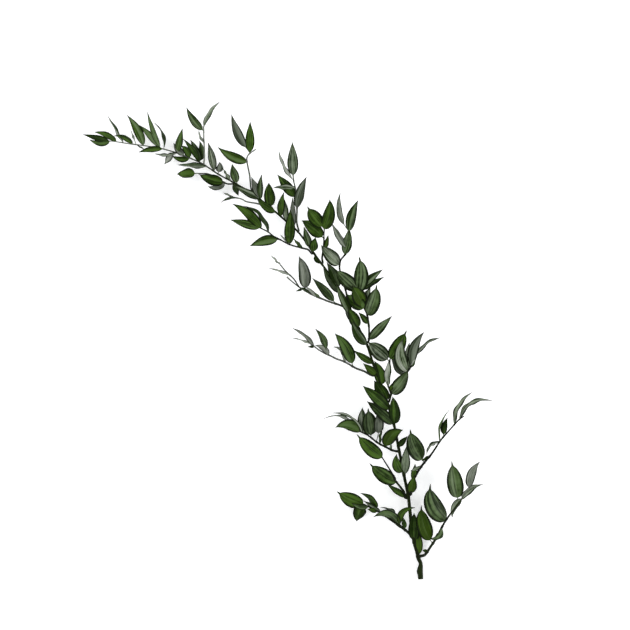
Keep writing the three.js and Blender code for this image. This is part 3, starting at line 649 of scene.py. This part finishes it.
def grow_stem(bm, line, radius_at, sides, rings, material, relief, pale_at):
    """A round stem along a line, from a straight cylinder cut into rings."""
    made = bmesh.new()
    made.verts.layers.float_vector.new("grain")
    made.verts.layers.float_color.new("finish")
    bmesh.ops.create_cone(made, cap_ends=True, segments=sides, radius1=1, radius2=1, depth=1)
    lengthwise = [edge for edge in made.edges if abs(edge.verts[0].co.z - edge.verts[1].co.z) > 0.5]
    bmesh.ops.subdivide_edges(made, edges=lengthwise, cuts=rings - 1)
    caps = [face for face in made.faces if len(face.verts) == sides]
    bmesh.ops.inset_individual(made, faces=caps, thickness=CAP_INSET)
    grain = made.verts.layers.float_vector["grain"]
    finish = made.verts.layers.float_color["finish"]
    lengths = line_lengths(line, rings)
    for face in made.faces:
        face.smooth = True
        face.material_index = material
    for vert in made.verts:
        x, y, z = vert.co
        share = clamp(z + 0.5)
        angle = math.atan2(y, x)
        distance = lengths[round(share * rings)]
        side, normal = run_frame(line.run_at(share))
        radius = radius_at(share) * relief(angle, distance)
        vert.co = line.at(share) + side * (x * radius) + normal * (y * radius)
        vert[grain] = (math.cos(angle), math.sin(angle), distance)
        vert[finish] = (pale_at(share), 0, 0, 1)
    mesh = save_mesh(made, "stem_run")
    bm.from_mesh(mesh)
    bpy.data.meshes.remove(mesh)


def line_lengths(line, rings):
    """Distance along a line at each of its rings."""
    lengths = [0.0]
    for ring in range(rings):
        lengths.append(lengths[-1] + (line.at((ring + 1) / rings) - line.at(ring / rings)).length)
    return lengths


def finish_piece(bm, name, materials, node):
    """Turns a finished bmesh into a piece of the object, in metres in the row frame."""
    bmesh.ops.transform(bm, matrix=PLAN_TO_ROW, verts=list(bm.verts))
    mesh = save_mesh(bm, name)
    for material in materials:
        mesh.materials.append(material)
    piece = bpy.data.objects.new(name, mesh)
    bpy.context.scene.collection.objects.link(piece)
    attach(piece, "root")
    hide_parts(node)


# Materials

def feed(tree, node, inputs):
    """Links a node's inputs to sockets, or sets them to numbers or to colours of three numbers."""
    for key, value in inputs.items():
        socket = node.inputs[key]
        if isinstance(value, bpy.types.NodeSocket):
            tree.links.new(value, socket)
        elif socket.type == "RGBA":
            socket.default_value = (*value, 1.0)
        else:
            socket.default_value = value


def add_node(tree, kind, inputs=None, **settings):
    """A shader node with its settings and its inputs."""
    node = tree.nodes.new("ShaderNode" + kind)
    for key, value in settings.items():
        setattr(node, key, value)
    feed(tree, node, inputs or {})
    return node


def math_node(tree, operation, a, b=0.5, c=0.5):
    return add_node(tree, "Math", {0: a, 1: b, 2: c}, operation=operation).outputs[0]


def multiply(tree, a, b):
    return math_node(tree, "MULTIPLY", a, b)


def weighted_sum(tree, start, *terms):
    """A start, and each socket of the terms times its weight added in turn."""
    total = start
    for socket, weight in terms:
        total = math_node(tree, "MULTIPLY_ADD", socket, weight, total)
    return total


def clamped(tree, value):
    return add_node(tree, "Clamp", {0: value}).outputs[0]


def noise(tree, place, scale, detail, roughness=0.5):
    inputs = {"Vector": place, "Scale": scale, "Detail": detail, "Roughness": roughness}
    return add_node(tree, "TexNoise", inputs).outputs[0]


def map_range(tree, value, low, high, to_low=0.0, to_high=1.0):
    inputs = {"Value": value, "From Min": low, "From Max": high, "To Min": to_low, "To Max": to_high}
    return add_node(tree, "MapRange", inputs).outputs[0]


def mix_colours(tree, factor, a, b):
    return add_node(tree, "Mix", {0: factor, 6: a, 7: b}, data_type="RGBA").outputs[2]


def shader_group(name, inputs, outputs):
    """An empty node group with named inputs and outputs: (tree, its input sockets, its output node)."""
    tree = bpy.data.node_groups.new(name, "ShaderNodeTree")
    for label, kind in inputs:
        tree.interface.new_socket(label, in_out="INPUT", socket_type="NodeSocket" + kind)
    for label, kind in outputs:
        tree.interface.new_socket(label, in_out="OUTPUT", socket_type="NodeSocket" + kind)
    return tree, tree.nodes.new("NodeGroupInput").outputs, tree.nodes.new("NodeGroupOutput")


def blade_veins_group():
    """A blade's lengthwise veins: masks of veins, streaks, midrib, edge, painted light on one half, and a
    height.
    """
    tree, given, result = shader_group(
        "blade_veins",
        [("Blade", "Vector"), ("Seed", "Float"), ("Count", "Float")],
        [("Veins", "Float"), ("Streaks", "Float"), ("Midrib", "Float"), ("Edge", "Float"), ("Half", "Float"),
         ("Height", "Float")],
    )
    parts = add_node(tree, "SeparateXYZ", {0: given["Blade"]}).outputs
    signed = weighted_sum(tree, -1.0, (parts["X"], 2.0))
    across = math_node(tree, "ABSOLUTE", signed)
    seed = multiply(tree, given["Seed"], 37.0)      # gives each leaf its own part of the noise

    # Streaks are long: the pattern is fine across the blade and coarse along it.
    fine = multiply(tree, parts["X"], given["Count"])
    coarse = multiply(tree, parts["Y"], 1.6)
    stretched = add_node(tree, "CombineXYZ", {"X": fine, "Y": coarse, "Z": seed}).outputs[0]
    streak = map_range(tree, noise(tree, stretched, 0.5, 4.0, 0.65), *CLOUD_SPAN)
    # Painted light: one half of the blade is lighter, as if its fold caught the light, by as much as the seed
    # gives.
    lit_half_lean = weighted_sum(tree, -1.0, (given["Seed"], 2.0))
    half = multiply(tree, lit_half_lean, map_range(tree, signed, -0.12, 0.12, -1.0, 1.0))

    # Veins run side by side, and waver a little.
    bend = noise(tree, stretched, 0.35, 1.0)
    phase = weighted_sum(tree, multiply(tree, across, given["Count"]), (bend, 2.2))
    wave = math_node(tree, "SINE", multiply(tree, phase, 2.4))
    veins = map_range(tree, wave, 0.55, 1.0)

    midrib = map_range(tree, across, 0.07, 0.015)
    edge = map_range(tree, across, 0.62, 0.86)
    height = weighted_sum(tree, multiply(tree, streak, 0.45), (veins, 0.55), (midrib, -0.8))
    feed(tree, result, {"Veins": veins, "Streaks": streak, "Midrib": midrib, "Edge": edge, "Half": half,
                        "Height": height})
    return tree


def mottle_group():
    """Uneven colour of a living surface: a soft mask and a mask of fine specks."""
    tree, given, result = shader_group(
        "mottle",
        [("Place", "Vector"), ("Scale", "Float")],
        [("Mottle", "Float"), ("Specks", "Float")],
    )
    soft = noise(tree, given["Place"], given["Scale"], 4.0, 0.6)
    cell_scale = multiply(tree, given["Scale"], 6.0)
    cells = add_node(tree, "TexVoronoi", {"Vector": given["Place"], "Scale": cell_scale}).outputs[0]
    mottle = map_range(tree, soft, *CLOUD_SPAN)
    specks = map_range(tree, cells, 0.22, 0.1)
    feed(tree, result, {"Mottle": mottle, "Specks": specks})
    return tree


def bark_grain_group():
    """Lengthwise grain of bark along a stem: a mask of fibres, one of patches and a height."""
    tree, given, result = shader_group(
        "bark_grain",
        [("Grain", "Vector"), ("Fineness", "Float")],
        [("Fibres", "Float"), ("Patches", "Float"), ("Height", "Float")],
    )
    parts = add_node(tree, "SeparateXYZ", {0: given["Grain"]}).outputs
    scales = {"X": given["Fineness"], "Y": given["Fineness"], "Z": 0.12}
    stretched = {axis: multiply(tree, parts[axis], scale) for axis, scale in scales.items()}
    along = add_node(tree, "CombineXYZ", stretched).outputs[0]
    fibres = map_range(tree, noise(tree, along, 1.0, 4.0, 0.65), 0.3, 0.7)
    patches = map_range(tree, noise(tree, along, 0.3, 2.0), 0.4, 0.62)
    feed(tree, result, {"Fibres": fibres, "Patches": patches, "Height": fibres})
    return tree


def group_node(tree, group, inputs):
    """The outputs of a node group that is placed in a material."""
    return add_node(tree, "Group", inputs, node_tree=group).outputs


def object_mottle(tree, groups, scale):
    place = add_node(tree, "TexCoord").outputs["Object"]
    return group_node(tree, groups["mottle"], {"Place": place, "Scale": scale})


def add_relief(tree, shader, strength, depth, height):
    """A bump of a depth in metres on a shader's normal."""
    bump = add_node(tree, "Bump", {"Strength": strength, "Distance": depth, "Height": height})
    feed(tree, shader, {"Normal": bump.outputs[0]})


def start_material(name, **levels):
    """A new material and its shader, with the values that are the same all over the surface."""
    material = bpy.data.materials.new(name)
    material.use_nodes = True
    tree = material.node_tree
    shader = tree.nodes["Principled BSDF"]
    for label, value in levels.items():
        shader.inputs[label.replace("_", " ")].default_value = value
    return material, tree, shader


def leaf_material(name, leaf, groups, upper):
    """The upper or the lower side of the leaves, whose finish is in their vertices."""
    material, tree, shader = start_material(name, Specular_IOR_Level=0.05)
    blade = add_node(tree, "UVMap", uv_map="blade").outputs[0]
    finish = add_node(tree, "Attribute", attribute_name="finish")
    shade = add_node(tree, "SeparateColor", {0: finish.outputs["Color"]}).outputs
    bright_share, olive_share, painted_sheen_share = shade[0], shade[1], shade[2]
    seed = finish.outputs["Alpha"]
    veins = group_node(tree, groups["blade_veins"], {"Blade": blade, "Seed": seed, "Count": VEIN_COUNT})
    mottle = object_mottle(tree, groups, LEAF_MOTTLE)
    # half carries the painted light and shade on the two sides of a blade's fold.
    streaks, half, soft = veins["Streaks"], veins["Half"], mottle["Mottle"]
    run = add_node(tree, "SeparateXYZ", {0: blade}).outputs["Y"]

    middle = weighted_sum(tree, 1.0, (veins["Edge"], -0.9))
    if upper:
        bright = weighted_sum(tree, -1.65, (bright_share, 1.5), (streaks, 2.1), (soft, 0.7), (half, 0.35))
        colour = mix_colours(tree, clamped(tree, bright), leaf.dark_colour, leaf.bright_colour)
        from_base = map_range(tree, run, *OLIVE_SPAN)
        olive = multiply(tree, olive_share, weighted_sum(tree, 0.4, (from_base, 0.6)))
        colour = mix_colours(tree, olive, colour, leaf.olive_colour)
        streaky = weighted_sum(tree, -0.8, (streaks, 2.4), (half, 0.8), (soft, 0.6))
    else:
        light = weighted_sum(tree, -0.2, (streaks, 1.5), (half, 0.4))
        colour = mix_colours(tree, clamped(tree, light), leaf.dark_colour, leaf.underside_colour)
        streaky = weighted_sum(tree, streaks, (soft, 0.5))
    # Painted sheen: grey streaks of painted reflection over the middle of a blade, on either side.
    painted_sheen = clamped(tree, multiply(tree, painted_sheen_share, multiply(tree, streaky, middle)))
    colour = mix_colours(tree, painted_sheen, colour, leaf.painted_sheen_colour)
    colour = mix_colours(tree, multiply(tree, veins["Midrib"], MIDRIB_STRENGTH), colour, leaf.vein_colour)
    colour = mix_colours(tree, multiply(tree, veins["Veins"], VEIN_STRENGTH), colour, leaf.vein_colour)
    # Painted shade: each blade's margin is darkened almost to black.
    colour = mix_colours(tree, veins["Edge"], colour, leaf.margin_shade_colour)
    tip = multiply(tree, map_range(tree, run, *TIP_SPAN), TIP_STRENGTH)
    colour = mix_colours(tree, tip, colour, leaf.tip_colour)
    colour = mix_colours(tree, multiply(tree, mottle["Specks"], FLECK_STRENGTH), colour, leaf.dry_colour)

    smoothest = 0.36 if upper else 0.52
    rough = weighted_sum(tree, smoothest, (streaks, 0.14), (painted_sheen, 0.12))
    feed(tree, shader, {"Base Color": colour, "Roughness": rough})
    add_relief(tree, shader, 0.6, LEAF_RELIEF, veins["Height"])
    return material


def bark_material(name, dark, light, stem, groups, fineness):
    """Bark with lengthwise fibres, patches of a lighter colour, bleached stretches and corky specks."""
    material, tree, shader = start_material(name, Specular_IOR_Level=0.05)
    grain = add_node(tree, "Attribute", attribute_name="grain").outputs["Vector"]
    bark = group_node(tree, groups["bark_grain"], {"Grain": grain, "Fineness": fineness})
    fibres = bark["Fibres"]
    mask = multiply(tree, bark["Patches"], weighted_sum(tree, 0.4, (fibres, 0.6)))
    colour = mix_colours(tree, mask, dark, light)
    finish = add_node(tree, "Attribute", attribute_name="finish").outputs["Color"]
    bleached = add_node(tree, "SeparateColor", {0: finish}).outputs[0]
    bleached = multiply(tree, bleached, weighted_sum(tree, 0.5, (fibres, 0.5)))
    colour = mix_colours(tree, bleached, colour, stem.pale_colour)
    specks = multiply(tree, object_mottle(tree, groups, BARK_MOTTLE)["Specks"], SCAR_STRENGTH)
    colour = mix_colours(tree, specks, colour, stem.scar_colour)
    feed(tree, shader, {"Base Color": colour, "Roughness": weighted_sum(tree, 0.42, (fibres, 0.2))})
    add_relief(tree, shader, 0.7, BARK_RELIEF, bark["Height"])
    return material


def cut_wood_material(stem, groups):
    """Pale wood with darker patches."""
    material, tree, shader = start_material("cut_wood", Roughness=0.75)
    mottle = object_mottle(tree, groups, WOOD_MOTTLE)["Mottle"]
    dark = tuple(0.45 * part for part in stem.wood_colour)
    feed(tree, shader, {"Base Color": mix_colours(tree, mottle, stem.wood_colour, dark)})
    add_relief(tree, shader, 0.8, BARK_RELIEF, mottle)
    return material


def ruscus_materials(scene):
    """The object's materials by name, made once."""
    names = ("leaf_upper_side", "leaf_underside", "twig_bark", "stem_bark", "cut_wood")
    if all(name in bpy.data.materials for name in names):
        return {name: bpy.data.materials[name] for name in names}
    leaf, stem = scene.ruscus_leaf, scene.ruscus_stem
    groups = {"blade_veins": blade_veins_group(), "mottle": mottle_group(), "bark_grain": bark_grain_group()}
    made = (
        leaf_material("leaf_upper_side", leaf, groups, upper=True),
        leaf_material("leaf_underside", leaf, groups, upper=False),
        bark_material("twig_bark", stem.twig_colour, stem.young_colour, stem, groups, 1.2),
        bark_material("stem_bark", stem.bark_colour, stem.young_colour, stem, groups, 2.5),
        cut_wood_material(stem, groups),
    )
    return dict(zip(names, made))


# The parts of the plant

def main_radius(share):
    along = share * (len(MAIN_STEM) - 1)
    index = min(math.floor(along), len(MAIN_STEM) - 2)
    return blend(MAIN_STEM[index][3], MAIN_STEM[index + 1][3], along - index)


def leaf_starts(lines, leaves):
    """The place on the lines where each leaf starts."""
    starts = []
    for leaf in leaves:
        found = [(*line.nearest(leaf[0], leaf[1]), index) for index, line in enumerate(lines)]
        _, share, index = min(found)
        starts.append(lines[index].at(share))
    return starts


def grow_leaves(bm, name, lines, leaves, settings):
    """All the leaves of one list on its lines, with chance seeded by the list's name."""
    chance = random.Random(name)
    blade = flat_blade(settings)
    for start, leaf, finish in zip(leaf_starts(lines, leaves), leaves, LEAF_FINISHES[name], strict=True):
        grow_leaf(bm, blade, start, leaf, finish, chance, settings)
    bpy.data.meshes.remove(blade)


def new_leafy_bmesh():
    bm = bmesh.new()
    bm.verts.layers.float_color.new("finish")
    bm.verts.layers.float_vector.new("grain")
    bm.loops.layers.uv.new("blade")
    return bm


def build_arching_stem(scene):
    """The bark of the main stem, with its heel, nodes and cut face."""
    stem = scene.ruscus_stem
    line = StemLine(MAIN_STEM)
    rings = MAIN_RINGS * (len(MAIN_STEM) - 1)
    lengths = line_lengths(line, rings)
    roots = [leaf[:2] for leaf in MAIN_LEAVES] + [shoot["foot"] for shoot in SHOOTS.values()]
    nodes = sorted(lengths[round(line.nearest(x, y)[1] * rings)] for x, y in roots)

    def relief(angle, distance):
        swell = max(math.exp(-((distance - node) / MAIN_NODE_LENGTH) ** 2) for node in nodes)
        ridges = 0.6 * math.cos(5 * angle + 0.01 * distance) + 0.4 * math.cos(9 * angle - 0.02 * distance)
        return 1 + stem.swelling * swell + stem.ridge * ridges

    def pale_at(share):
        return TIP_PALENESS * clamp((share - 0.8) / 0.15)

    bm = bmesh.new()
    grow_stem(bm, line, main_radius, stem.stem_sides, rings, 0, relief, pale_at)
    for face in bm.faces:
        if len(face.verts) > 4:
            face.material_index = 1
    materials = ruscus_materials(scene)
    finish_piece(bm, "arching_stem", [materials["stem_bark"], materials["cut_wood"]], "main_stem")


def build_stem_leaves(scene):
    """The leaves that grow straight on the main stem."""
    bm = new_leafy_bmesh()
    grow_leaves(bm, "main_stem", [StemLine(MAIN_STEM)], MAIN_LEAVES, scene.ruscus_leaf)
    finish_piece(bm, "stem_leaves", leafy_materials(scene), "main_stem")


def leafy_materials(scene):
    materials = ruscus_materials(scene)
    return [materials[name] for name in ("leaf_upper_side", "leaf_underside", "twig_bark")]


def shoot_start(shoot, main_line):
    """A shoot's foot: where its solid starts, a place inside the main stem, and the foot's radius."""
    _, share = main_line.nearest(*shoot["foot"])
    axil = main_line.at(share)
    stem_radius = main_radius(share)
    foot_radius = 0.5 * stem_radius + 0.4
    run = main_line.run_at(share)
    heading = (Vector(shoot["lines"][0][0]) - axil).normalized()
    outward = (heading - run * heading.dot(run)).normalized()
    slant = math.sqrt(max(1 - heading.dot(outward) ** 2, 0))
    start = axil + outward * (stem_radius + SHOOT_GAP + foot_radius * slant)
    return start, axil + outward * (0.4 * stem_radius), foot_radius


def build_sprig(scene, node, shoot):
    """One leafy side shoot, from inside its axil to its last leaf."""
    stem = scene.ruscus_stem
    start, inside, foot_radius = shoot_start(shoot, StemLine(MAIN_STEM))
    solid_lines = [StemLine([start, *shoot["lines"][0]])] + [StemLine(line) for line in shoot["lines"][1:]]
    grown_lines = [StemLine([inside, start, *shoot["lines"][0]])] + solid_lines[1:]
    bm = new_leafy_bmesh()
    for index, line in enumerate(grown_lines):
        thick = foot_radius if index == 0 else FORK_RADIUS
        rings = SHOOT_RINGS * (len(line.points) - 1)
        lengths = line_lengths(line, rings)
        nodes = [lengths[round(line.nearest(*leaf[:2])[1] * rings)] for leaf in shoot["leaves"]]

        def radius_at(share, thick=thick):
            return SHOOT_FULLNESS * blend(thick, SHOOT_TIP_RADIUS, share)

        def relief(angle, distance, nodes=nodes):
            swell = max(math.exp(-((distance - node) / SHOOT_NODE_LENGTH) ** 2) for node in nodes)
            return 1 + TWIG_SWELLING * stem.swelling * swell + stem.ridge * math.cos(4 * angle)

        def pale_at(share, ends=TWIG_PALENESS.get(node, (0, 0))):
            return blend(*ends, share)

        grow_stem(bm, line, radius_at, stem.shoot_sides, rings, TWIG, relief, pale_at)
    grow_leaves(bm, node, solid_lines, shoot["leaves"], scene.ruscus_leaf)
    finish_piece(bm, node.replace("shoot", "sprig"), leafy_materials(scene), node)


# The stage

def add_area_light(name, place, power):
    """A large square light that faces the origin."""
    data = bpy.data.lights.new(name, "AREA")
    data.shape = "SQUARE"
    data.size = LIGHT_SIZE
    data.energy = power
    light = bpy.data.objects.new(name, data)
    light.location = place
    light.rotation_euler = (-Vector(place)).to_track_quat("-Z", "Y").to_euler()
    bpy.context.scene.collection.objects.link(light)


def build_stage(scene):
    """A pale surface, soft light and a camera that looks straight down on the stem."""
    stage = scene.ruscus_stage
    bm = bmesh.new()
    bmesh.ops.create_grid(bm, x_segments=1, y_segments=1, size=FLOOR_HALF)
    floor = bpy.data.objects.new("pale_surface", save_mesh(bm, "pale_surface"))
    material, tree, shader = start_material("pale_surface", Roughness=0.9, Emission_Strength=stage.floor_glow)
    feed(tree, shader, {"Base Color": stage.floor_colour, "Emission Color": stage.floor_colour})
    floor.data.materials.append(material)
    scene.collection.objects.link(floor)

    world = bpy.data.worlds.new("studio")
    world.use_nodes = True
    tree = world.node_tree
    direction = add_node(tree, "TexCoord").outputs["Generated"]
    rise = add_node(tree, "SeparateXYZ", {0: direction}).outputs["Z"]
    # The light is dimmer overhead than round the horizon.
    glow = map_range(tree, rise, 0.8, 0.5, OVERHEAD_SHARE * stage.ambient, stage.ambient)
    feed(tree, tree.nodes["Background"], {"Color": SKY_COLOUR, "Strength": glow})
    scene.world = world

    add_area_light("key_light", KEY_PLACE, stage.key_power)
    add_area_light("fill_light", FILL_PLACE, stage.fill_power)

    data = bpy.data.cameras.new("camera")
    data.lens = stage.lens
    data.dof.use_dof = False
    camera = bpy.data.objects.new("camera", data)
    middle = PLAN_TO_ROW @ Vector((*VIEW_MIDDLE, 0))
    height = stage.view_width * data.lens / data.sensor_width
    camera.location = (middle.x, middle.y, LEAF_HEIGHT + height)
    scene.collection.objects.link(camera)
    scene.camera = camera
    scene.view_settings.view_transform = "Standard"


# Operators and panel

class RUSCUS_OT_stage(bpy.types.Operator):
    """Add the pale surface, the lights and the camera"""

    bl_idname = "ruscus.stage"
    bl_label = "Stage"

    def execute(self, context):
        build_stage(context.scene)
        return {"FINISHED"}


class RUSCUS_OT_arching_stem(bpy.types.Operator):
    """Add the main stem with its bark, nodes and cut end"""

    bl_idname = "ruscus.arching_stem"
    bl_label = "Arching stem"

    def execute(self, context):
        build_arching_stem(context.scene)
        return {"FINISHED"}


class RUSCUS_OT_stem_leaves(bpy.types.Operator):
    """Add the leaves that grow straight on the main stem"""

    bl_idname = "ruscus.stem_leaves"
    bl_label = "Leaves on the stem"

    def execute(self, context):
        build_stem_leaves(context.scene)
        return {"FINISHED"}


class RUSCUS_OT_sprigs(bpy.types.Operator):
    """Add the leafy side shoots, one piece for each"""

    bl_idname = "ruscus.sprigs"
    bl_label = "Leafy side shoots"

    def execute(self, context):
        for node, shoot in SHOOTS.items():
            build_sprig(context.scene, node, shoot)
        return {"FINISHED"}


class RUSCUS_PT_panel(bpy.types.Panel):
    """Builds the ruscus stem piece by piece"""

    bl_idname = "RUSCUS_PT_panel"
    bl_label = "Ruscus stem"
    bl_space_type = "VIEW_3D"
    bl_region_type = "UI"
    bl_category = "Ruscus"

    def draw(self, context):
        layout = self.layout
        for operator in OPERATORS:
            layout.operator(operator.bl_idname)
        for settings in (context.scene.ruscus_leaf, context.scene.ruscus_stem, context.scene.ruscus_stage):
            box = layout.box()
            for name in settings.__annotations__:
                box.prop(settings, name)


OPERATORS = (RUSCUS_OT_stage, RUSCUS_OT_arching_stem, RUSCUS_OT_stem_leaves, RUSCUS_OT_sprigs)
SETTINGS = {
    "ruscus_leaf": RuscusLeafSettings,
    "ruscus_stem": RuscusStemSettings,
    "ruscus_stage": RuscusStageSettings,
}
CLASSES = (*SETTINGS.values(), *OPERATORS, RUSCUS_PT_panel)


def register():
    for cls in CLASSES:
        bpy.utils.register_class(cls)
    for name, cls in SETTINGS.items():
        setattr(bpy.types.Scene, name, PointerProperty(type=cls))


def unregister():
    for name in SETTINGS:
        delattr(bpy.types.Scene, name)
    for cls in reversed(CLASSES):
        bpy.utils.unregister_class(cls)


def main():
    register()
    bpy.ops.ruscus.stage()
    bpy.ops.ruscus.arching_stem()
    bpy.ops.ruscus.stem_leaves()
    bpy.ops.ruscus.sprigs()


if __name__ == "__main__":
    main()
